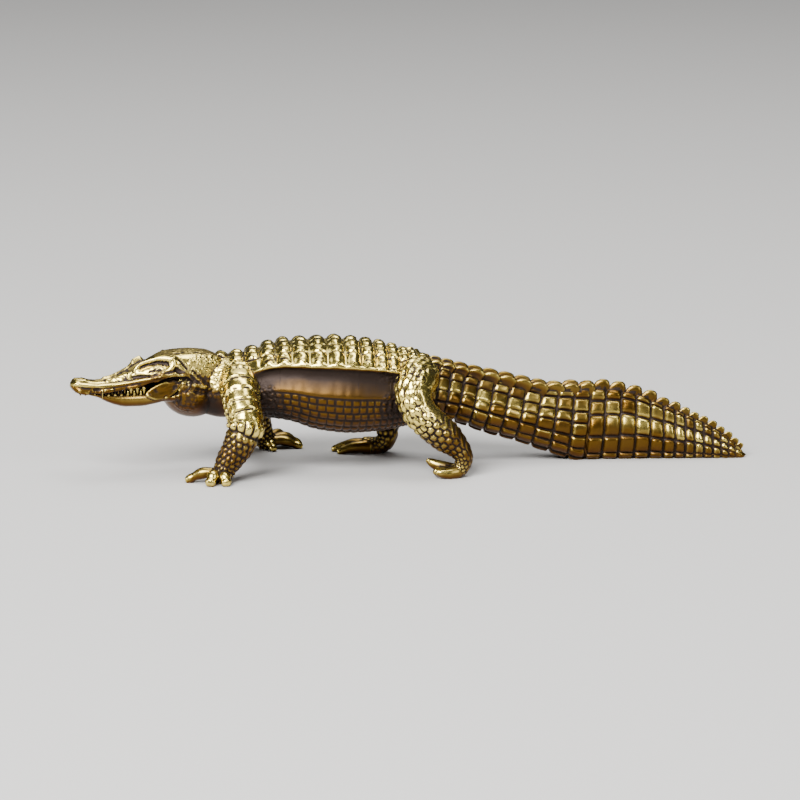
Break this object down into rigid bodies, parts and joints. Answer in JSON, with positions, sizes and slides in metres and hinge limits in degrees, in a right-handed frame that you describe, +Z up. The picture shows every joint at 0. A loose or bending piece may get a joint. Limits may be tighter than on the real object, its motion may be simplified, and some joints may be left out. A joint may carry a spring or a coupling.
{
  "type": "alligator figurine",
  "caption": "Solid cast brass alligator walking on four bent legs with its tail resting on the ground, standing free on its feet and tail.",
  "frame": {"origin": "centre of the bounding box on the plane that the feet and tail stand on", "axes": "+X towards the tail tip, -X towards the snout, -Y the animal's left side, +Z up"},
  "size_m": [0.0802, 0.0232, 0.0156],
  "materials": {
    "brass": "polished cast brass with dark patina left in the grooves between the scales"
  },
  "bodies": {
    "root": {"alligator": "brass"}
  },
  "joints": []
}
